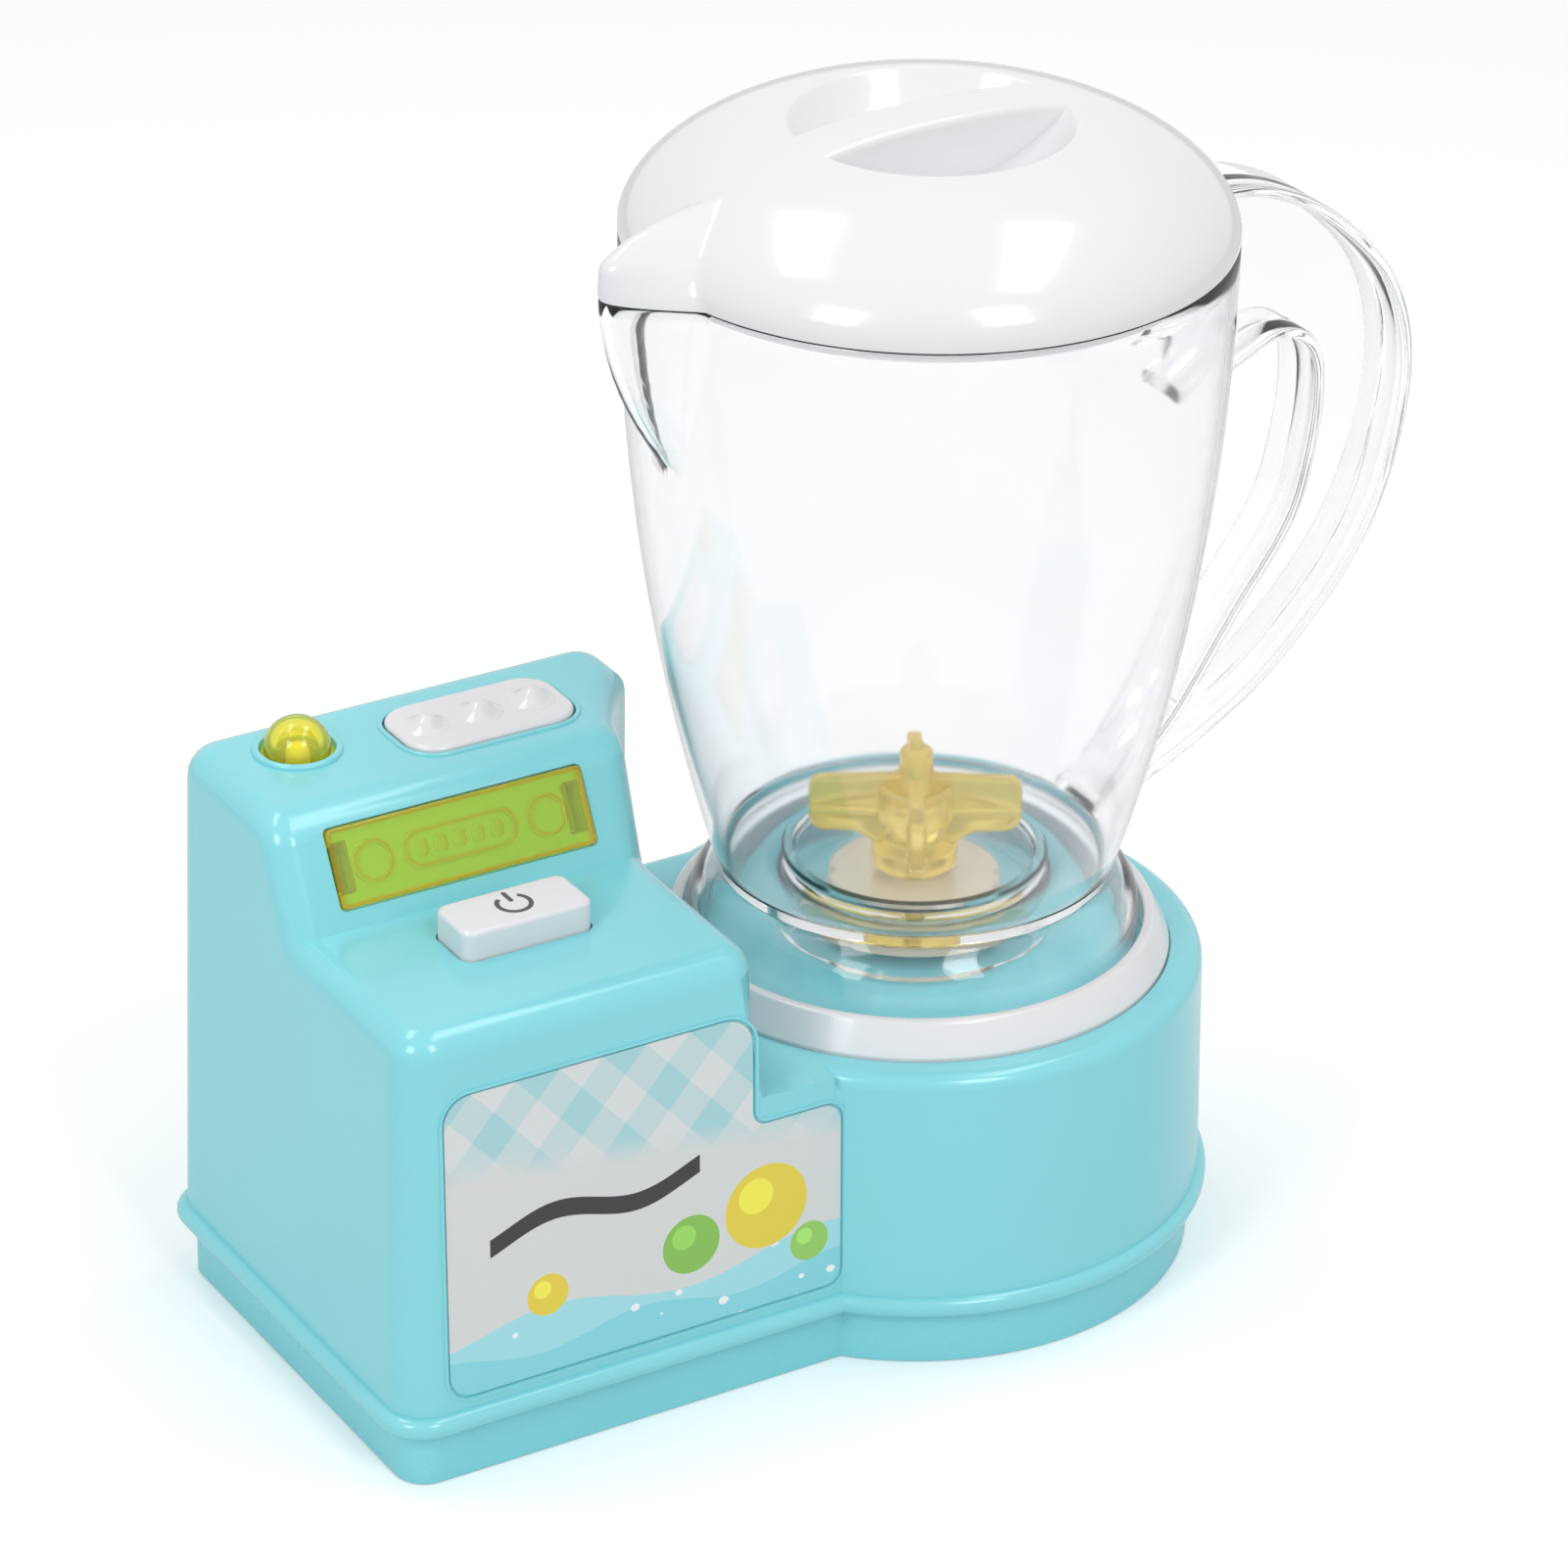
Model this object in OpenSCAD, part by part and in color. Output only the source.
// Toy blender: a two-part battery base with a control tower, and a clear lift-off jug with a
// spinning impeller, an I-section handle and a domed lid.
// The origin is on the drive axis, at the level the base stands on. +X runs from the control
// tower to the jug handle, +Y to the back, +Z up. All sizes are in millimetres.

/* [Base housing] */
// Radius of the drum under the jug, at the parting line
drum_r = 58; // [54:0.5:64]
// Left side of the control tower, from the drive axis
tower_left = 135.6; // [125:0.5:145]
// Front face of the base, from the drive axis
front_depth = 41.6; // [39:0.5:45]
// Back face of the base, from the drive axis
back_depth = 56.5; // [52:0.5:57.5]
// Lean of the housing walls from upright, in degrees
draft = 1.3; // [0.5:0.1:1.8]
// Wall of the housing and of the tray
wall = 2.2; // [1.8:0.1:2.6]
// Radius of the upright edges of the base
corner_r = 8; // [6:0.5:9]
// Radius of the top edges of the base
edge_r = 6; // [4:0.5:6.5]
// Height of the drum's flat top
drum_top = 63.7; // [62.5:0.1:65]
// Height of the control shelf that holds the button
shelf_top = 95.5; // [92:0.5:99]
// Height of the tower's top face
tower_top = 116; // [112:0.5:120]
// Right side of the shelf, from the drive axis
shelf_right = 59.5; // [58:0.5:62]
// Right side of the tower behind the jug, from the drive axis
tower_right = 42.5; // [40:0.5:46]
// Radius of the hollow in the tower's side that the jug stands in
tower_hollow_r = 58.5; // [57:0.5:60]
// Slope of the display face, from the level
face_slope = 62; // [58:0.5:66]
// Front edge of the tower's top face, behind the drive axis
face_top_y = 15.2; // [13:0.2:17]

/* [Bottom tray] */
// Height of the tray's outer wall
tray_h = 11.4; // [10:0.2:13]
// How far the tray stands in from the housing wall
tray_inset = 1.7; // [1.2:0.1:2.2]
// Height of the bead round the housing's bottom edge
bead_h = 4.2; // [3.4:0.1:5]
// How far the bead stands out
bead_out = 1.9; // [1.2:0.1:2.4]
// Height of the tray's locating lip above its wall
lip_h = 3; // [2:0.5:4]
// Wall of that lip
lip_t = 1.4; // [1.1:0.1:1.8]

/* [Jug seat] */
// Outer radius of the seat ring
ring_r = 50.6; // [49.8:0.1:51]
// Inner radius of the seat ring
ring_bore_r = 45.2; // [44.9:0.1:45.6]
// Height of the seat ring's crest above the drum
ring_h = 6.2; // [4:0.2:7]
// Level of the well floor that the jug stands on
well_floor = 64.7; // [64:0.1:65.4]
// Height of the bush boss above the well floor
boss_h = 3.6; // [3:0.2:4.6]
// Radius of the bush boss
boss_r = 9; // [8:0.5:12]

/* [Jug] */
// Height of the jug's rim
rim_z = 213.5; // [200:0.5:225]
// Outer radius at the rim
rim_r = 58.2; // [56:0.2:60]
// Outer radius where the floor meets the wall
foot_r = 38.7; // [37:0.1:39.5]
// Level of the underside of the floor at the wall
foot_z = 81.5; // [80.5:0.1:84]
// Fullness of the belly: higher swells sooner
belly = 2.1; // [1.6:0.1:2.6]
// Wall of the jug
jug_wall = 1.8; // [1.5:0.1:2.2]
// Outer radius of the skirt under the floor
skirt_r = 44.4; // [43.8:0.1:44.6]
// Outer radius of the sleeve round the coupling
sleeve_r = 25.6; // [24.5:0.1:27]
// Wall of that sleeve
sleeve_t = 2.2; // [1.8:0.1:2.6]
// Reach of the spout's tip, from the axis
spout_reach = 70; // [67:0.5:73]
// Half width of the spout at the rim
spout_half = 13.5; // [11:0.5:16]
// Depth of the spout below the rim
spout_drop = 34; // [28:1:42]

/* [Handle] */
// Reach of the handle, from the axis
handle_reach = 109; // [104:0.5:114]
// Width of the handle's flanges
handle_w = 15; // [12:0.5:18]
// Thickness of the flanges
flange_t = 2.4; // [2:0.1:3]
// Thickness of the web between them
web_t = 2.6; // [2:0.1:3.4]

/* [Lid] */
// Height of the dome above the rim
dome_h = 24; // [21:0.5:28]
// Wall of the lid
lid_wall = 2; // [1.6:0.1:2.6]
// Depth of the plug inside the rim
plug_h = 6; // [5:0.5:9]
// Width of the grip bar between the finger wells
grip_w = 12; // [9:0.5:14]
// Radius of the dish that makes the finger wells
scoop_r = 37.5; // [34:0.5:42]
// Depth of the finger wells under the crown
scoop_depth = 13.8; // [9:0.2:14.4]
// Place of the dish along the grip bar
scoop_x = 1.7; // [-3:0.1:4]

/* [Impeller] */
// Span of the paddles
paddle_span = 45; // [40:0.5:50]
// Height of the paddles
paddle_h = 12; // [10:0.5:14]
// Thickness of the paddles
paddle_t = 3; // [2.4:0.1:3.6]
// Radius of the impeller's collar
collar_r = 8.7; // [8:0.1:9.4]
// Radius of the centre post
post_r = 3.4; // [3:0.1:4]
// Turn of the paddles at rest, in degrees
impeller_turn = -31; // [-45:1:45]

/* [Drive] */
// Radius of the drive shaft
shaft_r = 3; // [2.6:0.1:3.4]
// Running clearance of the shaft, on the radius
run_gap = 0.07; // [0.04:0.01:0.1]
// Radius of the drive coupling
coupling_r = 17.6; // [16.5:0.1:18.5]
// Radius of the driven coupling under the jug
driven_r = 16.8; // [16:0.1:17.5]
// Number of driving dogs
dogs = 4; // [3:1:5]
// Module of the gear teeth
gear_module = 0.9; // [0.8:0.05:1]
// Teeth on the drive gear
gear_teeth = 36; // [32:4:40]
// Teeth on the motor pinion
pinion_teeth = 12; // [12:4:16]
// Width of the drive gear
gear_w = 5; // [4:0.5:6]
// Length of the motor can
motor_h = 25; // [22:0.5:27]
// Radius of the motor can
motor_r = 10; // [9:0.5:11]

/* [Control panel] */
// Width of the power button
button_w = 27.5; // [24:0.5:30]
// Depth of the power button
button_d = 13; // [11:0.5:15]
// How far the button stands above the shelf
button_rise = 6; // [4:0.5:7]
// Travel of the button
button_travel = 2; // [1:0.2:2.4]
// Width of the display window
window_w = 54.4; // [48:0.5:58]
// Height of the display window
window_h = 15.4; // [13:0.2:16]
// Radius of the signal lamp
lamp_r = 7.4; // [6:0.2:8.5]
// Height of the lamp's dome above the tower
lamp_h = 8.2; // [7.6:0.2:11]
// Width of the bump pad
pad_w = 36; // [32:0.5:38]
// Depth of the bump pad
pad_d = 19.6; // [16:0.2:21]
// Radius of the bumps
bump_r = 4.4; // [3.4:0.2:5]

/* [Batteries] */
// Radius of a cell
cell_r = 7.1; // [6.8:0.1:7.25]
// Length of a cell, without its tip
cell_l = 49.2; // [48:0.2:50]

/* [Clearances] */
// Gap between parts that lift off and their seats
seat_gap = 0.3; // [0.2:0.05:0.4]
// Gap round parts that slide or drop in
slide_gap = 0.35; // [0.25:0.05:0.45]

/* [Hidden] */
$fn = 96;
hull_fn = 32;     // facets on what a hull wraps
eps = 0.01;       // overshoot of cuts
big = 400;

teal = [0.53, 0.84, 0.88];
white = [0.93, 0.93, 0.95];
clear = [0.86, 0.88, 0.92, 0.45];
amber = [0.87, 0.72, 0.10, 0.85];
blade_amber = [0.98, 0.80, 0.35, 0.85];
cream = [0.90, 0.85, 0.76];
steel = [0.70, 0.71, 0.73];
nylon = [0.94, 0.94, 0.90];

draw_in = 0.8;                               // how far an upper block's posts draw in at the foot
parting_z = tray_h;                          // where the tray meets the housing
wall_z = tray_h + bead_h;                    // where the upright walls start
function lean(z) = (z - wall_z) * tan(draft);   // how far a wall has come in at height z
drum_top_r = drum_r - lean(drum_top - edge_r);

// The display face, as a plane across the tower
face_foot_y = face_top_y - (tower_top - shelf_top) / tan(face_slope);
face_len = (tower_top - shelf_top) / sin(face_slope);
function face_y(z) = face_top_y - (tower_top - z) / tan(face_slope);

// Control panel places
button_x = -95.2;
button_y = -11;
button_top = shelf_top + button_rise;
button_corner = 2.5;
window_x = -95;
window_proud = 0.8;
window_depth = 2.4;
pocket_wall = 1.8;
lamp_x = -114.5;
lamp_y = 39;
lamp_flange = 1.6;
lamp_rim = 1.8;
lamp_rim_h = 0.9;
pad_x = -78;
pad_y = 34;
pad_corner = 6.5;
pad_rise = 1.2;
pad_depth = 1;
pad_rim = 1.4;
bump_pitch = 11.5;
bump_h = 1.6;

// Label on the front face
label_left = 126;
label_right = 41;
label_step = 60.4;
label_low = 2.7;        // above the wall's foot, measured up the face
label_mid = 42.4;
label_high = 66.6;
label_corner = 5;
label_t = 0.35;
label_sink = 0.5;
label_rim = 1.3;

/* ---------- shapes used by several parts ---------- */

module ring(r_out, r_in, h) {
    difference() {
        cylinder(h = h, r = r_out);
        translate([0, 0, -eps]) cylinder(h = h + 2 * eps, r = r_in);
    }
}

// A rectangle with round corners, centred
module round_rect(w, d, r) {
    union() {
        square([w - 2 * r, d], center = true);
        square([w, d - 2 * r], center = true);
        for (sx = [-1, 1], sy = [-1, 1])
            translate([sx * (w / 2 - r), sy * (d / 2 - r)]) circle(r = r, $fn = 48);
    }
}

module round_block(w, d, h, r) {
    linear_extrude(h) round_rect(w, d, r);
}

// The outline of the base seen from above, drawn in by inset
module base_outline(inset) {
    x0 = -tower_left + inset;
    y0 = -front_depth + inset;
    y1 = back_depth - inset;
    r = max(corner_r - inset, 1);
    union() {
        circle(r = drum_r - inset, $fn = 180);
        translate([x0 + r, y0]) square([-x0 - r, y1 - y0]);
        translate([x0, y0 + r]) square([r + eps, y1 - y0 - 2 * r]);
        for (y = [y0 + r, y1 - r]) translate([x0 + r, y]) circle(r = r, $fn = 48);
    }
}

// An upright corner post: a slightly tapered round post with a soft top edge.
// The posts of one corner share one taper. A post that stands on a lower block starts just
// over that block's top edge and draws in below it, so no two walls share a plane.
module post(z_low, z_top, inset, start) {
    e = max(edge_r - inset, 1);
    top = z_top - inset;
    function r_at(z) = max(corner_r - inset, 3.5) - lean(max(z, wall_z));
    foot = start <= wall_z ? [[0, z_low], [r_at(wall_z), z_low], [r_at(wall_z), wall_z]]
        : [[0, z_low], [r_at(start) - draw_in, z_low], [r_at(start), start]];
    r_top = r_at(top - e);
    arc_e = min(e, r_top - 0.2);
    rotate_extrude($fn = hull_fn) polygon(concat(foot,
        [for (a = [0, 28, 50, 70, 90]) [r_top - arc_e + arc_e * cos(a), top - e + e * sin(a)]],
        [[0, top]]));
}

// A block with leaning walls between four posts. x and y are the posts' axes, as [low, high].
module leaning_block(x, y, z_low, z_top, inset, start) {
    hull() for (px = x, py = y) translate([px, py, 0]) post(z_low, z_top, inset, start);
}

function post_in(inset) = inset + max(corner_r - inset, 3.5);
function left_post(inset) = -tower_left + post_in(inset);
function front_post(inset) = -front_depth + post_in(inset);
function back_post(inset) = back_depth - post_in(inset);

// The high part of the tower, whose front is the display face
module display_block(inset) {
    e = max(edge_r - inset, 1);
    top = tower_top - inset;
    low_z = shelf_top - 24;
    start = shelf_top - edge_r + 0.5;
    shift = inset / sin(face_slope);
    r_low = max(corner_r - inset, 3.5) - lean(start) - draw_in;
    r_top = max(corner_r - inset, 3.5) - lean(top - e);
    arc_e = min(e, r_top - 0.2);
    x = [left_post(inset), -tower_right - post_in(inset)];
    // where the front posts stand for the face to pass through its planned line
    touch_z = top - e + e * sin(90 - face_slope);
    y_top = face_y(touch_z) + shift + r_top - arc_e + arc_e * cos(90 - face_slope);
    y_low = face_y(low_z) + shift + r_low;
    hull() for (px = x) {
        translate([px, back_post(inset), 0]) post(drum_top - 14, tower_top, inset, start);
        translate([px, y_top, 0]) post(start, tower_top, inset, start);
        translate([px, y_low, low_z - 14]) cylinder(h = 14, r = r_low, $fn = hull_fn);
    }
}

// The jug's wall: radius at height z, and the revolved solid inside it
function jug_r(z) =
    foot_r + (rim_r - foot_r) * (1 - pow(1 - (z - foot_z) / (rim_z - foot_z), belly));
wall_steps = 14;
jug_levels = [for (i = [0:wall_steps]) foot_z + (rim_z - foot_z) * i / wall_steps];

module jug_solid(inset, z_low, z_high) {
    rotate_extrude($fn = 128) polygon(concat(
        [[0, z_low]],
        [[jug_r(z_low) - inset, z_low]],
        [for (z = jug_levels) if (z > z_low + 0.5 && z < z_high - 0.5) [jug_r(z) - inset, z]],
        [[jug_r(min(z_high, rim_z)) - inset, z_high]],
        [[0, z_high]]));
}

// A beak: a pointed plan at the rim that tapers into the wall below it
module beak(inset, top) {
    tip_r = 6 - inset;
    hull() {
        translate([-spout_reach + 6, 0, rim_z - 1]) cylinder(h = top - rim_z + 1, r = tip_r, $fn = hull_fn);
        for (s = [-1, 1])
            translate([-rim_r + 4, s * (spout_half - 1 - inset), rim_z - 1])
                cylinder(h = top - rim_z + 1, r = 1, $fn = 12);
        translate([-spout_reach + 8.5, 0, rim_z - spout_drop / 2])
            cylinder(h = 1, r = tip_r - 0.8, $fn = hull_fn);
        translate([-rim_r + 5 + inset, 0, rim_z - spout_drop + inset]) sphere(r = 1.5, $fn = 16);
    }
}

// Points along a cubic curve between four control points
function curve(a, b, c, d, n, first = 0) = [for (i = [first:n]) let (t = i / n)
    pow(1 - t, 3) * a + 3 * t * pow(1 - t, 2) * b + 3 * t * t * (1 - t) * c + pow(t, 3) * d];
// The same line moved sideways by d
function beside(p, d) = [for (i = [0:len(p) - 1]) let (
    v = p[min(i + 1, len(p) - 1)] - p[max(i - 1, 0)],
    n = [-v.y, v.x] / norm(v)) p[i] + d * n];
function turned(p) = [for (i = [len(p) - 1:-1:0]) p[i]];

/* ---------- battery base ---------- */

screw_r = 1.4;
screw_core_r = 1.45;
boss_wall_r = 3.6;
boss_foot_r = 4.4;
head_r = 2.7;
head_h = 2;
counterbore_h = 7;
rib_t = 1.6;
// places of the housing screws, and how high the boss over each one goes
housing_screw_at = [[-126, -32], [-126, 47], [-36, 47.5], [-50, -32], [43, 24], [43, -24]];
tall_boss_z = 40;
ring_boss_z = 61;
roof_boss_z = 62.4;
function boss_top(p) = p.x < -100 ? tall_boss_z : p.x > 0 ? ring_boss_z : roof_boss_z;
post_at = [[-33, -13], [-33, 13], [13, -16], [13, 16]];
plate_z = 43.2;
plate_t = 2.4;

bay_x = -96;
bay_y = 16;
bay_wall = 1.6;
bay_clear = 0.45;
bay_l = cell_l + 9;
bay_w = 4 * cell_r + 3 * bay_clear;
bay_h = 2 * cell_r + 2 * bay_clear;
door_t = 2;
door_sink = 0.3;
door_margin = 3;
door_l = bay_l + 2 * bay_wall + 2 * door_margin;
door_w = bay_w + 2 * bay_wall + 2 * door_margin;
door_screw_x = bay_x + bay_l / 2 + bay_wall + 5.4;
door_tab_w = 8;
door_ear = 10;
door_ear_w = 14;

module door_plan(grow) {
    translate([bay_x, bay_y]) {
        round_rect(door_l + 2 * grow, door_w + 2 * grow, 3);
        translate([door_l / 2 + door_ear / 2 - 3, 0])
            round_rect(door_ear + 6 + 2 * grow, door_ear_w + 2 * grow, 3);
    }
}

module tray() {
    bay_top = door_sink + door_t + bay_h;
    lip_z = tray_h + lip_h;
    lip_in = wall + slide_gap;
    color(teal) difference() {
        union() {
            // floor and wall
            difference() {
                linear_extrude(tray_h) base_outline(tray_inset);
                translate([0, 0, wall]) linear_extrude(big) base_outline(tray_inset + wall);
            }
            // locating lip inside the housing
            translate([0, 0, wall]) linear_extrude(lip_z - wall) difference() {
                base_outline(lip_in);
                base_outline(max(lip_in + lip_t, tray_inset + wall + 0.6));
            }
            // battery bay
            translate([bay_x, bay_y, 0])
                round_block(bay_l + 2 * bay_wall, bay_w + 2 * bay_wall, bay_top + bay_wall, 2);
            // door recess floor and door screw boss
            linear_extrude(door_sink + door_t + slide_gap + wall) door_plan(wall);
            translate([door_screw_x, bay_y, 0]) cylinder(h = 14, r = boss_foot_r, $fn = 48);
            for (p = housing_screw_at) translate([p.x, p.y, 0])
                cylinder(h = counterbore_h + 3, r = boss_foot_r, $fn = 48);
            for (p = post_at) translate([p.x, p.y, 0]) cylinder(h = plate_z, r = boss_wall_r, $fn = 48);
        }
        // battery bay, open to the door
        translate([bay_x, bay_y, -eps]) round_block(bay_l, bay_w, bay_top + eps, 1);
        translate([0, 0, -eps]) linear_extrude(door_sink + door_t + slide_gap + eps)
            door_plan(slide_gap);
        translate([door_screw_x, bay_y, -eps]) cylinder(h = 12.5, r = screw_core_r, $fn = 32);
        for (p = housing_screw_at) translate([p.x, p.y, -eps]) {
            cylinder(h = counterbore_h, r = head_r + 0.5, $fn = 48);
            cylinder(h = big, r = screw_r + 0.3, $fn = 32);
        }
        for (p = post_at) translate([p.x, p.y, plate_z - 12])
            cylinder(h = 12 + eps, r = screw_core_r, $fn = 32);
    }
}

// Raised centre that fills the bay's mouth, and a countersunk hole for its screw
module battery_door() {
    color(teal) translate([0, 0, door_sink]) difference() {
        union() {
            linear_extrude(door_t) door_plan(0);
            for (s = [-1, 1]) translate([bay_x, bay_y + s * (bay_w / 2 - 3), door_t])
                translate([-bay_l / 2 + 6, -0.7, 0]) cube([bay_l - 12, 1.4, 1]);
        }
        translate([door_screw_x, bay_y, -eps]) {
            cylinder(h = door_t + 1, r = screw_r + 0.2, $fn = 32);
            cylinder(h = 1.2, r1 = head_r + 0.2, r2 = screw_r + 0.2, $fn = 32);
        }
        // thumb flutes
        for (i = [0:4]) translate([bay_x - door_l / 2 + 6 + 3 * i, bay_y - 8, -eps])
            cube([1.4, 16, 0.5]);
    }
}

// Screw with its head down: head, shank and cross slot
module screw(length, countersunk) {
    difference() {
        union() {
            if (countersunk) cylinder(h = 1, r1 = head_r, r2 = screw_r, $fn = 32);
            else cylinder(h = head_h, r = head_r, $fn = 32);
            cylinder(h = length, r = screw_r, $fn = 32);
        }
        for (a = [0, 90]) rotate(a) translate([-1.7, -0.35, -eps]) cube([3.4, 0.7, 0.9]);
    }
}

module door_screw() {
    color(steel) translate([door_screw_x, bay_y, door_sink + 0.15]) screw(11, true);
}

cell_y = [for (s = [-1, 1]) bay_y + s * (cell_r + bay_clear / 2)];
cell_z = door_sink + door_t + bay_clear + cell_r;

module battery_cells() {
    color([0.25, 0.27, 0.30]) for (i = [0, 1]) translate([bay_x, cell_y[i], cell_z])
        rotate([0, i == 0 ? 90 : -90, 0]) translate([0, 0, -cell_l / 2]) {
            cylinder(h = cell_l, r = cell_r, $fn = 64);
            translate([0, 0, cell_l - eps]) cylinder(h = 1.2, r = 2.6, $fn = 32);
        }
}

// Spring plate and flat plate at each end of the cells
module battery_contacts() {
    plate = 0.5;
    tip_gap = bay_l / 2 - cell_l / 2;
    color(steel) for (i = [0, 1], e = [-1, 1]) {
        tip_end = (i == 0 ? 1 : -1) == e;
        reach = tip_end ? tip_gap - 1.2 - plate - 0.3 : tip_gap - plate - 0.3;
        translate([bay_x + e * bay_l / 2, cell_y[i], cell_z]) mirror([e > 0 ? 1 : 0, 0, 0]) {
            translate([0, -5.5, -6]) cube([plate, 11, 12]);
            translate([plate - eps, 0, 0]) rotate([0, 90, 0])
                cylinder(h = reach, r1 = 4.6, r2 = 2.4, $fn = 32);
        }
    }
}

// What is taken out of the tower's side for the jug, opening out at the top
module jug_hollow(inset) {
    e = max(edge_r - inset, 1);
    r = tower_hollow_r + inset;
    top = tower_top - inset;
    rotate_extrude($fn = 180) polygon(concat(
        [[0, drum_top - inset - 4], [r, drum_top - inset - 4]],
        [for (a = [0:15:90]) [r + e - e * cos(a), top - e + e * sin(a)]],
        [[r + e, top + 5], [0, top + 5]]));
}

/* The housing: a drum, a low bridge, a shelf block and the display block over it, all as
   one shell with a hollow in the tower's side for the jug. */
module base_body(inset, foot) {
    top_r = drum_top_r - inset;
    e = edge_r - inset;
    top = drum_top - inset;
    union() {
        // drum with a round top edge
        rotate_extrude($fn = 180) polygon(concat(
            [[0, foot], [drum_r - inset, foot], [drum_r - inset, wall_z]],
            [for (a = [0:15:90]) [top_r - e + e * cos(a), top - e + e * sin(a)]],
            [[0, top]]));
        // low block along the whole base, shelf block on it, and display block on that,
        // cut by the hollow for the jug
        leaning_block([left_post(inset), 0], [front_post(inset), back_post(inset)], foot, drum_top,
            inset, 0);
        leaning_block([left_post(inset), -shelf_right - post_in(inset) + lean(shelf_top)],
            [front_post(inset), back_post(inset)], drum_top - 20, shelf_top, inset,
            drum_top - edge_r + 0.5);
        difference() {
            display_block(inset);
            jug_hollow(inset);
        }
    }
}

// Places a shape on the leaning front face: x across, y up the face, z outwards
module on_front() {
    translate([0, -front_depth, wall_z]) rotate([90 - draft, 0, 0]) children();
}

// Places a shape on the display face: x across, y up the slope from its middle, z outwards
module on_face() {
    translate([window_x, (face_top_y + face_foot_y) / 2, (tower_top + shelf_top) / 2])
        rotate([face_slope, 0, 0]) children();
}

module label_plan(grow) {
    w = label_left - label_right + 2 * grow;
    r = label_corner + grow;
    difference() {
        union() {
            translate([-label_left - grow + w / 2, (label_low + label_mid) / 2])
                round_rect(w, label_mid - label_low + 2 * grow, r);
            translate([-(label_left + label_step) / 2, (label_low + label_high) / 2])
                round_rect(label_left - label_step + 2 * grow, label_high - label_low + 2 * grow, r);
        }
    }
}

// The bead round the housing's bottom edge, with a half-round nose
module bead() {
    nose = bead_h / 2;
    x0 = -tower_left - bead_out + nose;
    rotate_extrude($fn = 180) union() {
        translate([drum_r - 6, parting_z]) square([6 + bead_out - nose, bead_h]);
        translate([drum_r + bead_out - nose, parting_z + nose]) circle(r = nose, $fn = 32);
    }
    hull() for (y = [-front_depth - bead_out + corner_r + 1.9, back_depth + bead_out - corner_r - 1.9],
        x = [-tower_left - bead_out + corner_r + 1.9, 0])
        translate([x, y, parting_z]) rotate_extrude($fn = hull_fn) union() {
            square([corner_r + 1.9 - nose, bead_h]);
            translate([corner_r + 1.9 - nose, nose]) circle(r = nose, $fn = 16);
        }
}

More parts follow.
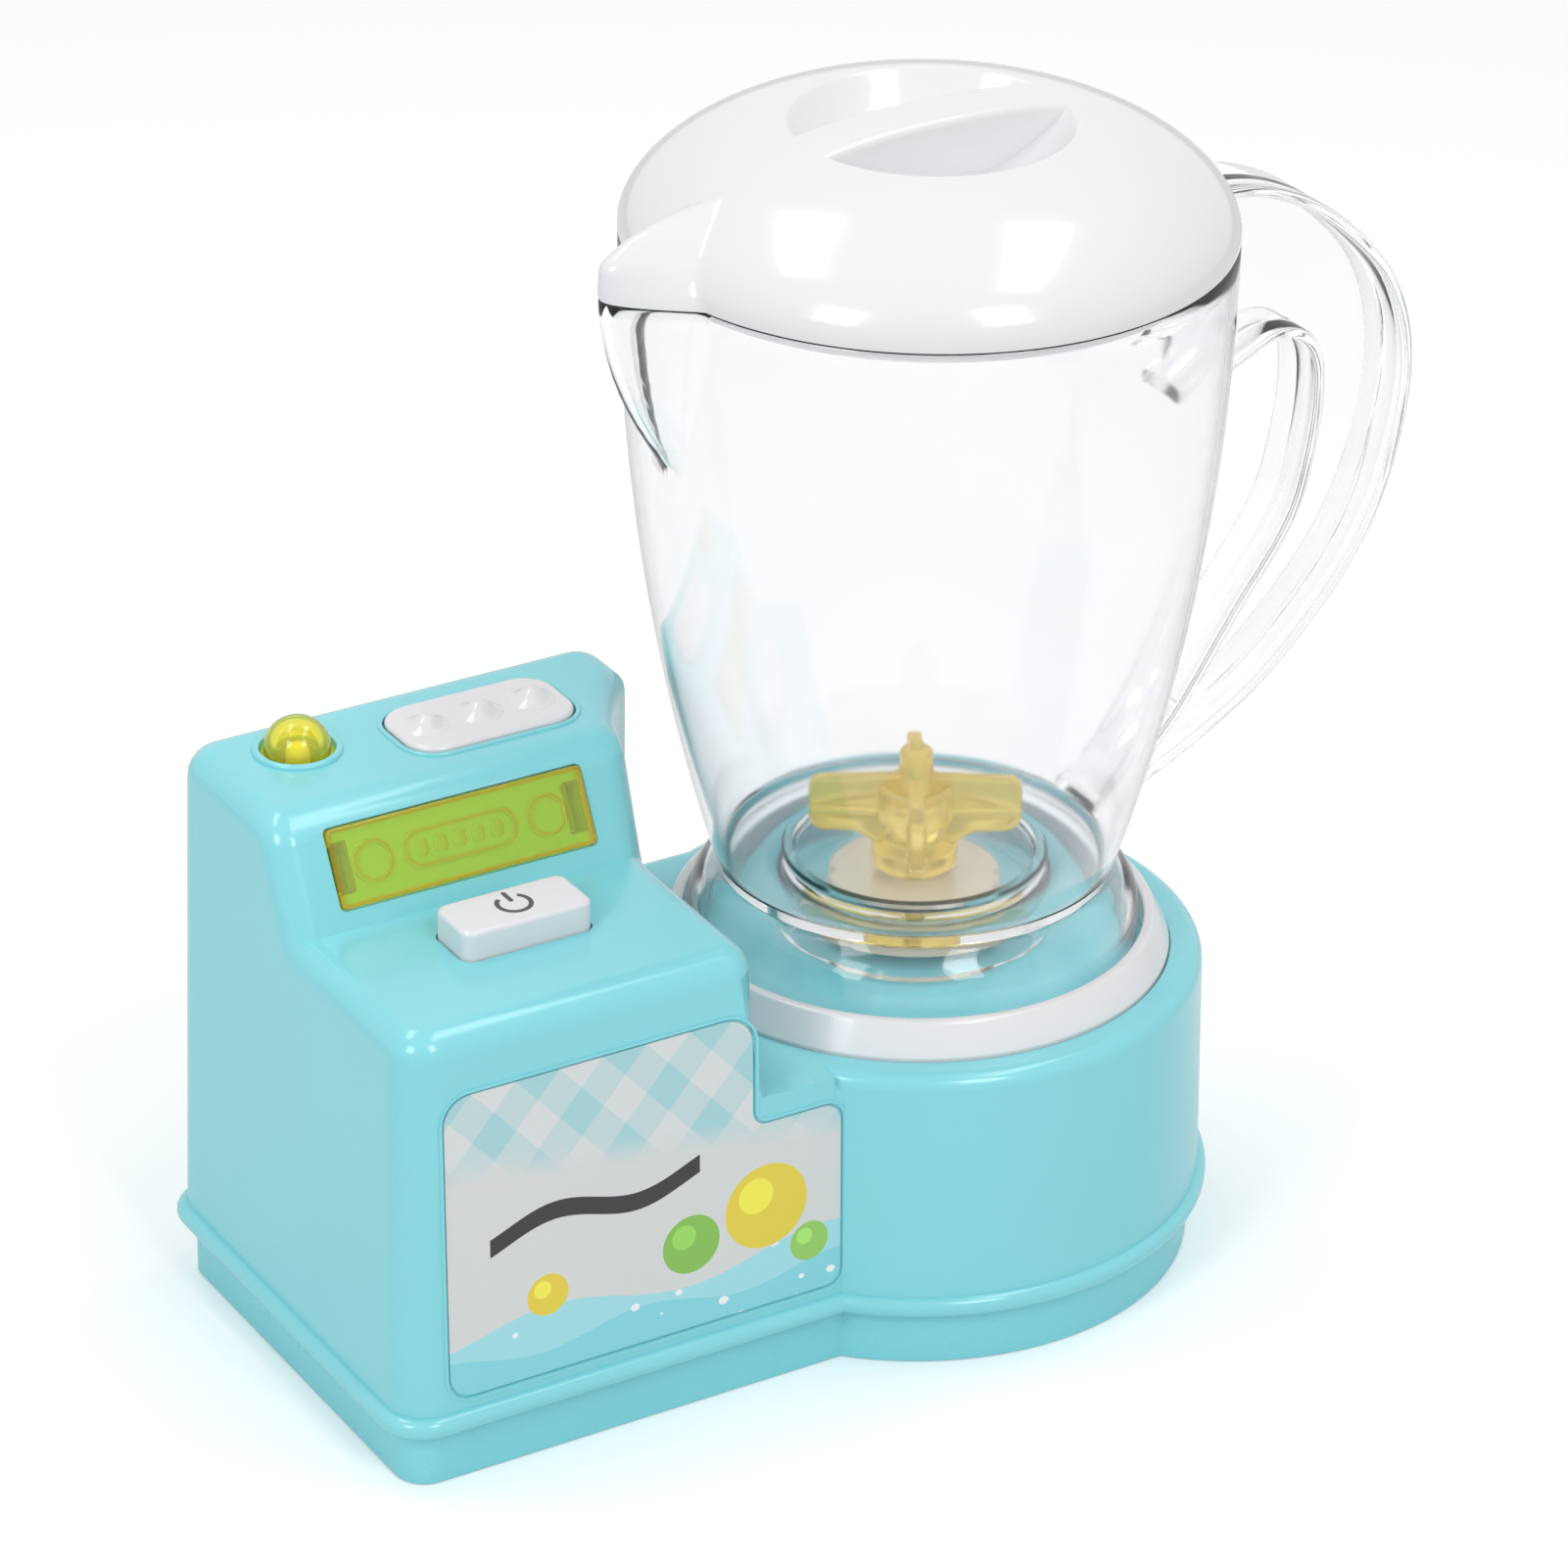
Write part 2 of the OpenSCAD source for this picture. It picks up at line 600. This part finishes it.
module housing() {
    well_r = ring_bore_r + 0.8;
    color(teal) difference() {
        union() {
            difference() {
                union() {
                    base_body(0, parting_z);
                    bead();
                    // rim round the lamp and the pad
                    translate([lamp_x, lamp_y, tower_top - 1])
                        cylinder(h = 1 + lamp_rim_h, r = lamp_r + lamp_rim);
                    translate([pad_x, pad_y, tower_top - 1])
                        round_block(pad_w + 2 * pad_rim, pad_d + 2 * pad_rim, 1.5, pad_corner + pad_rim);
                }
                base_body(wall, parting_z - eps);
            }
            // floor of the well, the ledge under the seat ring and the boss for the shaft bush
            translate([0, 0, drum_top - wall + 0.5])
                cylinder(h = well_floor - drum_top + wall - 0.5, r = well_r);
            translate([0, 0, ring_seat - wall]) ring(ring_r + wall, well_r - wall, wall - 0.1);
            translate([0, 0, well_floor - 8]) cylinder(h = 8 + boss_h, r = boss_r);
            // bosses that take the screws from the tray, tied to the walls by ribs
            for (p = housing_screw_at) translate([p.x, p.y, counterbore_h + 3 + slide_gap]) {
                tall = p.x < -100;
                h = boss_top(p) - counterbore_h - 3 - slide_gap;
                cylinder(h = h, r = boss_wall_r, $fn = 48);
                if (tall) {
                    translate([-tower_left + 1 - p.x, -rib_t / 2, 4])
                        cube([tower_left - 1 + p.x, rib_t, h - 4]);
                }
            }
            // pillars that carry the circuit board
            for (p = board_post_at) translate([p.x, p.y, board_z + board_t])
                cylinder(h = shelf_top - wall - board_z - board_t + 1, r = 3, $fn = 48);
            // pocket behind the display window
            on_face() translate([0, 0, -window_depth - pocket_wall])
                round_block(window_w + 5, window_h + 4, window_depth + pocket_wall - 0.2, 2);
            // seats under the lamp and the pad
            translate([lamp_x, lamp_y, tower_top - wall - 2]) cylinder(h = 3, r = lamp_r + 2.4);
            translate([pad_x, pad_y, tower_top - wall - 0.8])
                round_block(pad_w + 3, pad_d + 3, 2, pad_corner);
        }
        // rebate of the seat ring
        translate([0, 0, ring_seat]) ring(ring_r + slide_gap, well_r, 30);
        // bore for the bush
        translate([0, 0, well_floor - 10]) cylinder(h = 40, r = bush_r + 0.02);
        // pilot holes
        for (p = housing_screw_at) translate([p.x, p.y, 0])
            cylinder(h = counterbore_h + 18, r = screw_core_r, $fn = 32);
        for (p = board_post_at) translate([p.x, p.y, board_z]) cylinder(h = 7, r = screw_core_r, $fn = 32);
        // button aperture
        translate([button_x, button_y, shelf_top - 10])
            round_block(button_w + 2 * slide_gap, button_d + 2 * slide_gap, 20, button_corner + slide_gap);
        // display pocket with the two clip slots
        on_face() {
            translate([0, 0, -window_depth])
                round_block(window_w + 2 * slide_gap, window_h + 2 * slide_gap, 20, 1.2);
            for (s = [-1, 1]) translate([s * (window_w / 2 - 2.4), 0, -10]) linear_extrude(12)
                square([3.2 + 2 * slide_gap, 9.4 + 2 * slide_gap], center = true);
        }
        // lamp hole and pad pocket
        translate([lamp_x, lamp_y, tower_top - 10]) cylinder(h = 20, r = lamp_r - lamp_flange);
        translate([lamp_x, lamp_y, tower_top - 1]) cylinder(h = 20, r = lamp_r + slide_gap);
        translate([pad_x, pad_y, tower_top - pad_depth])
            round_block(pad_w + 2 * slide_gap, pad_d + 2 * slide_gap, 20, pad_corner + slide_gap);
        // label recess
        on_front() translate([0, 0, -label_sink]) linear_extrude(5) label_plan(0.4);
    }
}

module front_label() {
    color([0.90, 0.92, 0.92]) on_front() translate([0, 0, -label_sink]) linear_extrude(label_t)
        label_plan(0);
}

ring_seat = drum_top - 1.6;
module seat_ring() {
    crest = drum_top + ring_h;
    color(white) rotate_extrude($fn = 180) polygon(concat(
        [[ring_bore_r, well_floor + 0.2], [ring_bore_r + 1.1, well_floor + 0.2],
         [ring_bore_r + 1.1, ring_seat], [ring_r, ring_seat], [ring_r, drum_top + 0.6]],
        [for (a = [20:20:80]) [ring_bore_r + 1.2 + 1.2 * cos(a), crest - 1.2 + 1.2 * sin(a)]],
        [[ring_bore_r + 1.2, crest], [ring_bore_r + 0.4, crest], [ring_bore_r, crest - 0.5]]));
}

module housing_screws() {
    color(steel) for (p = housing_screw_at) translate([p.x, p.y, counterbore_h - head_h - 0.1])
        screw(18, false);
}

/* ---------- drive ---------- */

bush_r = 5;
bush_z = well_floor - 8;
bush_h = 8 + boss_h;
motor_screw_y = 5.9;
pinion_x = -gear_module * (gear_teeth + pinion_teeth) / 2;
gear_z = plate_z + plate_t + seat_gap + 0.6;
coupling_z = well_floor + boss_h + 1 + seat_gap;
coupling_t = 3;
dog_h = 2.2;
shaft_top = coupling_z + coupling_t - 0.4;

module drive_bush() {
    color(nylon) difference() {
        union() {
            translate([0, 0, bush_z]) cylinder(h = bush_h, r = bush_r);
            translate([0, 0, well_floor + boss_h]) cylinder(h = 1, r = bush_r + 1.8);
        }
        translate([0, 0, bush_z - 1]) cylinder(h = bush_h + 4, r = shaft_r + run_gap);
    }
}

module drive_shaft() {
    color(steel) difference() {
        translate([0, 0, plate_z - 3.4]) cylinder(h = shaft_top - plate_z + 3.4, r = shaft_r);
        // flat that drives the coupling
        translate([shaft_r - 0.7, -5, coupling_z - 0.2]) cube([5, 10, 20]);
        // groove for the clip
        translate([0, 0, plate_z - 1.45]) ring(shaft_r + 1, shaft_r - 0.6, 0.9);
    }
}

module shaft_clip() {
    color(steel) translate([0, 0, plate_z - 1.4]) difference() {
        ring(shaft_r + 2.2, shaft_r - 0.55, 0.8);
        translate([0, -1.4, -1]) cube([10, 2.8, 3]);
    }
}

// A spur gear outline: straight flanks, narrow tips, thin enough at the pitch line to run free
module gear_plan(teeth) {
    pitch = gear_module * teeth / 2;
    root = pitch - 1.2 * gear_module;
    tip = pitch + 0.95 * gear_module;
    step = 360 / teeth;
    polygon([for (i = [0:teeth - 1]) for (p = [
        [root, -0.36], [pitch, -0.225], [tip, -0.10], [tip, 0.10], [pitch, 0.225], [root, 0.36]])
        p[0] * [cos((i + p[1]) * step), sin((i + p[1]) * step)]]);
}

// The gear's phase puts a gap of the pinion opposite a tooth of the gear
module drive_gear() {
    color(nylon) difference() {
        union() {
            translate([0, 0, gear_z]) linear_extrude(gear_w) gear_plan(gear_teeth);
            translate([0, 0, plate_z + plate_t + seat_gap]) cylinder(h = gear_w + 5, r = shaft_r + 2.4);
        }
        translate([0, 0, gear_z - 5]) cylinder(h = gear_w + 20, r = shaft_r);
        for (a = [0:60:300]) rotate(a) translate([gear_module * gear_teeth / 3.2, 0, gear_z - 1])
            cylinder(h = gear_w + 2, r = gear_module * 2.6, $fn = 32);
    }
}

module motor_pinion() {
    gap_turn = 180 / pinion_teeth;
    color([0.80, 0.66, 0.32]) translate([pinion_x, 0, gear_z]) difference() {
        rotate(gap_turn) linear_extrude(gear_w + 0.6) gear_plan(pinion_teeth);
        translate([0, 0, -1]) cylinder(h = gear_w + 4, r = 1, $fn = 32);
    }
}

module motor_shaft() {
    color(steel) translate([pinion_x, 0, plate_z - 3])
        cylinder(h = gear_z + gear_w + 1 - plate_z + 3, r = 1, $fn = 32);
}

// Can with two flats, a front boss and two terminal tabs
module motor() {
    base = plate_z - motor_h;
    color(steel) translate([pinion_x, 0, base]) difference() {
        union() {
            intersection() {
                cylinder(h = motor_h, r = motor_r);
                translate([-big / 2, -motor_r * 0.76, 0]) cube([big, motor_r * 1.52, motor_h]);
            }
            translate([0, 0, motor_h - eps]) cylinder(h = plate_t * 0.8, r = 3, $fn = 48);
            translate([0, 0, -1.6]) cylinder(h = 2, r = 3.4, $fn = 48);
            for (s = [-1, 1]) translate([s * 6 - 0.4, -1.2, -3.4]) cube([0.8, 2.4, 4]);
        }
        translate([0, 0, motor_h - 6]) cylinder(h = 20, r = 1 + run_gap, $fn = 32);
        for (s = [-1, 1]) translate([0, s * motor_screw_y, motor_h - 4])
            cylinder(h = 5, r = 0.9, $fn = 24);
    }
}

module gear_plate() {
    color(nylon) translate([0, 0, plate_z]) difference() {
        linear_extrude(plate_t) union() {
            translate([-10, 0]) round_rect(54, 26, 4);
            translate([13, 0]) round_rect(9, 41, 4);
            translate([-33, 0]) round_rect(9, 35, 4);
        }
        cylinder(h = 20, r = shaft_r + run_gap, center = true);
        translate([pinion_x, 0, 0]) cylinder(h = 20, r = 3 + 0.2, center = true, $fn = 48);
        for (s = [-1, 1]) translate([pinion_x, s * motor_screw_y, 0])
            cylinder(h = 20, r = 1.1, center = true, $fn = 24);
        for (p = post_at) translate([p.x, p.y, 0])
            cylinder(h = 20, r = screw_r + 0.2, center = true, $fn = 32);
    }
}

module plate_screws() {
    color(steel) {
        for (p = post_at) translate([p.x, p.y, plate_z + plate_t + head_h]) mirror([0, 0, 1])
            screw(10, false);
        for (s = [-1, 1]) translate([pinion_x, s * motor_screw_y, plate_z + plate_t])
            difference() {
                union() {
                    cylinder(h = 0.6, r = 1.6, $fn = 24);
                    translate([0, 0, -plate_t - 3]) cylinder(h = plate_t + 3.5, r = 0.85, $fn = 24);
                }
                translate([-1.2, -0.25, 0.3]) cube([2.4, 0.5, 1]);
            }
    }
}

// A sector of a ring, for the dogs
module ring_sector(r_out, r_in, h, width) {
    intersection() {
        ring(r_out, r_in, h);
        linear_extrude(h) polygon([[0, 0], [2 * r_out, -2 * r_out * tan(width / 2)],
            [2 * r_out, 2 * r_out * tan(width / 2)]]);
    }
}

dog_out = 13.6;
dog_in = 7.4;
dog_turn = 360 / dogs;
dog_width = dog_turn * 0.36;

module drive_coupling() {
    color(cream) difference() {
        union() {
            translate([0, 0, coupling_z]) cylinder(h = coupling_t, r1 = coupling_r, r2 = coupling_r - 0.5);
            for (i = [0:dogs - 1]) rotate(i * dog_turn + impeller_turn)
                translate([0, 0, coupling_z + coupling_t - eps])
                    ring_sector(dog_out, dog_in, dog_h + eps, dog_width);
        }
        difference() {
            translate([0, 0, coupling_z - 1]) cylinder(h = 20, r = shaft_r);
            translate([shaft_r - 0.7, -5, coupling_z - 2]) cube([5, 10, 30]);
        }
        // grip notches in the rim
        for (i = [0:dogs - 1]) rotate((i + 0.5) * dog_turn + impeller_turn)
            translate([coupling_r + 0.4, 0, coupling_z - 1]) cylinder(h = 10, r = 1.6, $fn = 32);
    }
}

/* ---------- jug, lid and impeller ---------- */

floor_z = foot_z + 2.4;
skirt_z = well_floor + seat_gap;
sleeve_z = well_floor + 1.6;
cup_floor_z = coupling_z + coupling_t + dog_h + 0.4 + coupling_t + 0.3;
cup_floor_t = 2;
stub_r = 4;

// The wall, the floor with its sunk cup, and the skirt and sleeve under it
module jug() {
    skirt = [[foot_r, foot_z + 0.3], [skirt_r - 2.7, foot_z - 3.1], [skirt_r, foot_z - 9.5],
        [skirt_r - 0.3, skirt_z]];
    color(clear) difference() {
        union() {
            difference() {
                union() {
                    jug_solid(0, foot_z, rim_z);
                    beak(0, rim_z);
                }
                union() {
                    jug_solid(jug_wall, floor_z, rim_z + 1);
                    beak(jug_wall, rim_z + 1);
                }
            }
            // skirt
            rotate_extrude($fn = 128) polygon(concat(skirt,
                [for (i = [len(skirt) - 1:-1:0]) skirt[i] - [jug_wall, 0]]));
            // sleeve round the coupling
            translate([0, 0, sleeve_z]) cylinder(h = floor_z - sleeve_z + 0.6, r = sleeve_r);
        }
        difference() {
            translate([0, 0, sleeve_z - 1]) cylinder(h = big, r = sleeve_r - sleeve_t);
            translate([0, 0, cup_floor_z]) ring(sleeve_r, stub_r + run_gap, cup_floor_t);
        }
    }
}

// The handle's section is an I: an outer and an inner flange with a web between them
handle_out = concat(
    curve([rim_r - 3, rim_z - 1.4], [82, rim_z - 0.5], [105, 204], [handle_reach, 168], 10),
    curve([handle_reach, 168], [handle_reach + 1.5, 142], [90, 113], [52, 92], 10, 1));
handle_in = concat(
    curve([50, 168], [64, 170], [74, 180], [82, 176], 6),
    curve([82, 176], [90, 170], [84, 138], [57, 103], 10, 1));

module handle() {
    flange_out = concat(handle_out, turned(beside(handle_out, -flange_t)));
    flange_in = concat(handle_in, turned(beside(handle_in, flange_t)));
    color(clear) difference() {
        rotate([90, 0, 0]) union() {
            translate([0, 0, -web_t / 2]) linear_extrude(web_t) polygon(concat(
                beside(handle_out, -flange_t / 2), turned(beside(handle_in, flange_t / 2))));
            translate([0, 0, -handle_w / 2]) linear_extrude(handle_w) union() {
                polygon(flange_out);
                polygon(flange_in);
            }
        }
        jug_solid(-0.04, foot_z - 2, rim_z + 5);
    }
}

paddle_z = 90;
hub_r = 7.8;
bowl_z = cup_floor_z + cup_floor_t + 5.4;
post_top = 109.5;

module impeller() {
    collar_z = cup_floor_z + cup_floor_t + seat_gap;
    color(blade_amber) rotate(impeller_turn) difference() {
        union() {
            // stub through the floor, collar, and the bowl that carries the paddles
            translate([0, 0, cup_floor_z - 2]) cylinder(h = 6, r = stub_r);
            translate([0, 0, collar_z]) cylinder(h = bowl_z - collar_z + 2.5, r = collar_r);
            rotate_extrude() polygon([[0, bowl_z], [hub_r - 3, bowl_z], [hub_r - 0.6, bowl_z + 3],
                [hub_r, bowl_z + 7], [hub_r, paddle_z + paddle_h - 1], [hub_r - 1,
                paddle_z + paddle_h], [0, paddle_z + paddle_h]]);
            // centre post with a round top
            cylinder_between(post_r, paddle_z, post_top - post_r);
            translate([0, 0, post_top - post_r]) sphere(r = post_r, $fn = 48);
            for (a = [0:90:270]) rotate(a) paddle();
        }
        // hollow of the bowl and pilot hole for the screw
        translate([0, 0, paddle_z + paddle_h - 5]) ring(hub_r - 1.6, post_r, 10);
        translate([0, 0, cup_floor_z - 3]) cylinder(h = 12, r = 1.2, $fn = 32);
    }
}

module cylinder_between(r, z0, z1) {
    translate([0, 0, z0]) cylinder(h = z1 - z0, r = r, $fn = 48);
}

// One paddle: an upright plate with round corners and a rib along its middle
module paddle() {
    r = 3;
    len = paddle_span / 2;
    translate([0, paddle_t / 2, paddle_z]) rotate([90, 0, 0]) linear_extrude(paddle_t) union() {
        translate([post_r - 0.5, 0]) square([len - r - post_r + 0.5, paddle_h]);
        translate([len - r - eps, r]) square([r + eps, paddle_h - 2 * r]);
        for (y = [r, paddle_h - r]) translate([len - r, y]) circle(r = r, $fn = 48);
    }
    translate([post_r, -paddle_t / 2 - 0.5, paddle_z + paddle_h * 0.36])
        cube([len - post_r - 0.4, paddle_t + 1, 1.2]);
}

// Disc on the impeller's stub, with dogs that hang between those of the drive coupling
module driven_coupling() {
    disc_z = cup_floor_z - seat_gap - coupling_t;
    color(cream) difference() {
        union() {
            translate([0, 0, disc_z]) cylinder(h = coupling_t, r = driven_r);
            for (i = [0:dogs - 1]) rotate((i + 0.5) * dog_turn + impeller_turn)
                translate([0, 0, disc_z - dog_h + 0.2])
                    ring_sector(dog_out, dog_in, dog_h, dog_width);
        }
        translate([0, 0, cup_floor_z - 2]) cylinder(h = 6, r = stub_r);
        translate([0, 0, disc_z - 5]) cylinder(h = 10, r = screw_r + 0.1, $fn = 32);
        for (i = [0:dogs - 1]) rotate(i * dog_turn + impeller_turn)
            translate([driven_r + 0.3, 0, disc_z - 1]) cylinder(h = 10, r = 1.8, $fn = 32);
    }
}

module impeller_screw() {
    disc_z = cup_floor_z - seat_gap - coupling_t;
    color(steel) translate([0, 0, disc_z - 1]) difference() {
        union() {
            cylinder(h = 1, r = 2.4, $fn = 32);
            cylinder(h = 8, r = 1.2, $fn = 32);
        }
        for (a = [0, 90]) rotate(a) translate([-1.5, -0.3, -eps]) cube([3, 0.6, 0.6]);
    }
}

// The lid: a dome with a plug, two finger wells beside a grip bar, and a cover over the spout
lid_z = rim_z + seat_gap;
dome_steps = 10;
crown_fullness = 0.82;
crown_lift = 1.2;
// The dome's section: a short upright edge, then an oval crown
function dome_r(a, inset) = (rim_r - inset) * pow(cos(a), crown_fullness);
function dome_z(a, inset) = lid_z + 2 + (dome_h - 2 - inset) * pow(sin(a), crown_lift);

module dome(inset, z_low) {
    rotate_extrude($fn = 128) polygon(concat(
        [[0, z_low], [rim_r - inset, z_low], [rim_r - inset, lid_z + 2]],
        [for (i = [1:dome_steps - 1]) let (a = 90 * i / dome_steps) [dome_r(a, inset), dome_z(a, inset)]],
        [[0, dome_z(90, inset)]]));
}

module spout_cover(inset) {
    hull() {
        translate([-spout_reach + 6, 0, lid_z]) cylinder(h = 4 - inset, r = 6 - inset, $fn = hull_fn);
        translate([-spout_reach + 8.4, 0, lid_z + 6]) sphere(r = 5.4 - inset, $fn = hull_fn);
        for (s = [-1, 1])
            translate([-rim_r + 6, s * (spout_half - 3), lid_z]) cylinder(h = 6 - inset, r = 3 - inset / 2,
                $fn = 16);
        translate([-rim_r + 16, 0, lid_z + 9]) sphere(r = 8 - inset, $fn = hull_fn);
    }
}

// One half of the round dish, cut off straight beside the grip bar
module scoop(grow, side) {
    top = lid_z + dome_h;
    intersection() {
        translate([scoop_x, 0, top - scoop_depth + scoop_r]) sphere(r = scoop_r + grow, $fn = 96);
        translate([-50, side > 0 ? grip_w / 2 - grow : -grip_w / 2 + grow - 60, top - 40])
            cube([100, 60, 60]);
    }
}

module lid() {
    plug_r = rim_r - jug_wall - slide_gap;
    color(white) difference() {
        union() {
            difference() {
                union() {
                    dome(0, lid_z);
                    spout_cover(0);
                }
                dome(lid_wall, lid_z - 1);
                intersection() {
                    spout_cover(lid_wall);
                    translate([0, 0, lid_z]) cylinder(h = 30, r = big);
                }
                translate([-spout_reach + 8, -6, lid_z - 1]) cube([22, 12, 3]);
            }
            // plug ring, open at the spout
            difference() {
                translate([0, 0, lid_z - plug_h]) ring(plug_r, plug_r - lid_wall, plug_h + 3);
                translate([-rim_r - 5, -spout_half - 1, lid_z - plug_h - 1]) cube([20, 2 * spout_half + 2,
                    plug_h + 1 + eps]);
            }
            // skin of the finger wells, inside the dome
            intersection() {
                union() for (s = [-1, 1]) scoop(lid_wall, s);
                dome(eps, lid_z - 1);
            }
        }
        for (s = [-1, 1]) scoop(0, s);
    }
}

/* ---------- control panel ---------- */

board_t = 1.6;
board_z = shelf_top - wall - 11;
board_w = 46;
board_d = 30;
board_post_at = [for (sx = [-1, 1], sy = [-1, 1]) [button_x + sx * 19, button_y + 2 + sy * 11]];
switch_h = 4;
stem_z = board_z + board_t + switch_h;
flange_grow = 1.4;
stem_r = 1.2;
stem_out = button_travel + 0.4;
cap_flange_z = shelf_top - wall - slide_gap - 1.4;

module circuit_board() {
    color([0.16, 0.42, 0.24]) translate([button_x, button_y + 2, board_z]) difference() {
        round_block(board_w, board_d, board_t, 2);
        for (p = board_post_at) translate([p.x - button_x, p.y - button_y - 2, -1])
            cylinder(h = 4, r = screw_r + 0.2, $fn = 32);
    }
}

module board_screws() {
    color(steel) for (p = board_post_at) translate([p.x, p.y, board_z - head_h]) screw(7.5, false);
}

module push_switch() {
    color([0.15, 0.15, 0.17]) translate([button_x, button_y, board_z + board_t]) difference() {
        translate([-2.6, -2.6, 0]) cube([5.2, 5.2, switch_h]);
        translate([0, 0, 0.6]) cylinder(h = switch_h, r = stem_r + 0.1, $fn = 32);
    }
}

module switch_stem() {
    color(nylon) translate([button_x, button_y, stem_z - 1])
        cylinder(h = 1 + stem_out, r = stem_r, $fn = 32);
}

module power_button() {
    cap_wall = 1.6;
    roof = button_top - cap_wall;
    color(white) translate([button_x, button_y, 0]) {
        difference() {
            union() {
                translate([0, 0, cap_flange_z])
                    round_block(button_w, button_d, button_top - cap_flange_z - 1, button_corner);
                // soft top edge in two small steps
                translate([0, 0, button_top - 1 - eps])
                    round_block(button_w - 0.5, button_d - 0.5, 0.6, button_corner - 0.25);
                translate([0, 0, button_top - 0.4 - eps])
                    round_block(button_w - 1.4, button_d - 1.4, 0.4 + eps, button_corner - 0.7);
                translate([0, 0, cap_flange_z])
                    round_block(button_w + 2 * flange_grow, button_d + 2 * flange_grow, 1.4, button_corner);
            }
            translate([0, 0, cap_flange_z - 1])
                round_block(button_w - 2 * cap_wall, button_d - 2 * cap_wall, roof - cap_flange_z + 1,
                    button_corner - 1);
        }
        // plunger on the switch stem
        translate([0, 0, stem_z + stem_out]) cylinder(h = roof - stem_z - stem_out + eps, r = 2.2,
            $fn = 48);
    }
}

// Coil between the board and the underside of the cap
spring_r = 4.15;
spring_wire = 0.3;
spring_turns = 4;
module button_spring() {
    z0 = board_z + board_t + spring_wire + 0.1;
    z1 = button_top - 1.6 - spring_wire - 0.1;
    rings = 8 * spring_turns;
    sides = 6;
    pts = [for (i = [0:rings]) for (k = [0:sides - 1]) let (
        a = 360 * i / 8, t = 360 * k / sides, r = spring_r + spring_wire * cos(t))
        [r * cos(a), r * sin(a), z0 + (z1 - z0) * i / rings + spring_wire * sin(t)]];
    walls = [for (i = [0:rings - 1]) for (k = [0:sides - 1]) let (
        a = i * sides + k, b = i * sides + (k + 1) % sides)
        each [[a, a + sides, b], [b, a + sides, b + sides]]];
    caps = [[for (k = [0:sides - 1]) k], [for (k = [sides - 1:-1:0]) rings * sides + k]];
    color(steel) translate([button_x, button_y, 0]) polyhedron(points = pts,
        faces = concat(walls, caps));
}

module lamp_lens() {
    dome_top = tower_top + lamp_h;
    color(amber) translate([lamp_x, lamp_y, 0]) difference() {
        union() {
            translate([0, 0, tower_top - 1]) cylinder(h = lamp_h - lamp_r + 1, r = lamp_r);
            intersection() {
                translate([0, 0, dome_top - lamp_r]) sphere(r = lamp_r);
                translate([0, 0, tower_top]) cylinder(h = 20, r = lamp_r);
            }
            translate([0, 0, tower_top - 4]) cylinder(h = 4, r = lamp_r - lamp_flange - 0.2);
        }
        translate([0, 0, tower_top - 5]) cylinder(h = 5 + lamp_h - lamp_r, r = lamp_r - 3.2);
        translate([0, 0, dome_top - lamp_r]) sphere(r = lamp_r - 3.2);
    }
}

module lamp_led() {
    base = tower_top - 4.8;
    color([0.95, 0.92, 0.80]) translate([lamp_x, lamp_y, base]) {
        cylinder(h = 1, r = lamp_r - 3.2 - 0.15, $fn = 48);
        cylinder(h = 4.2, r = 2.4, $fn = 32);
        translate([0, 0, 4.2]) sphere(r = 2.4, $fn = 32);
        for (s = [-1, 1]) translate([s * 1.2 - 0.25, -0.25, -8]) cube([0.5, 0.5, 8.2]);
    }
}

module bump_pad() {
    color(white) translate([pad_x, pad_y, tower_top - pad_depth]) {
        round_block(pad_w, pad_d, pad_depth + pad_rise - 0.5, pad_corner);
        translate([0, 0, pad_depth + pad_rise - 0.5 - eps])
            round_block(pad_w - 0.9, pad_d - 0.9, 0.5 + eps, pad_corner - 0.45);
        // bumps: caps of a ball
        ball = (bump_r * bump_r + bump_h * bump_h) / (2 * bump_h);
        for (i = [-1, 0, 1]) translate([i * bump_pitch, 0, pad_depth + pad_rise]) intersection() {
            translate([0, 0, bump_h - ball]) sphere(r = ball);
            translate([0, 0, -0.2]) cylinder(h = 10, r = bump_r);
        }
    }
}

// Tinted window with a turned-down edge and two clips through the slots
module display_window() {
    color(amber) on_face() {
        translate([0, 0, -window_depth]) difference() {
            round_block(window_w, window_h, window_depth + window_proud, 1);
            translate([0, 0, -eps]) round_block(window_w - 3, window_h - 3, 1.4, 0.6);
        }
        for (s = [-1, 1]) translate([s * (window_w / 2 - 2.4), 0, -window_depth - pocket_wall - 1.2])
            linear_extrude(pocket_wall + 2.8) square([2, 8.6], center = true);
    }
}

tray();
battery_door();
door_screw();
battery_cells();
battery_contacts();
housing();
front_label();
seat_ring();
housing_screws();
drive_bush();
drive_shaft();
drive_gear();
shaft_clip();
drive_coupling();
gear_plate();
plate_screws();
motor();
motor_shaft();
motor_pinion();
circuit_board();
board_screws();
push_switch();
switch_stem();
power_button();
button_spring();
lamp_lens();
lamp_led();
bump_pad();
display_window();
jug();
handle();
impeller();
driven_coupling();
impeller_screw();
lid();
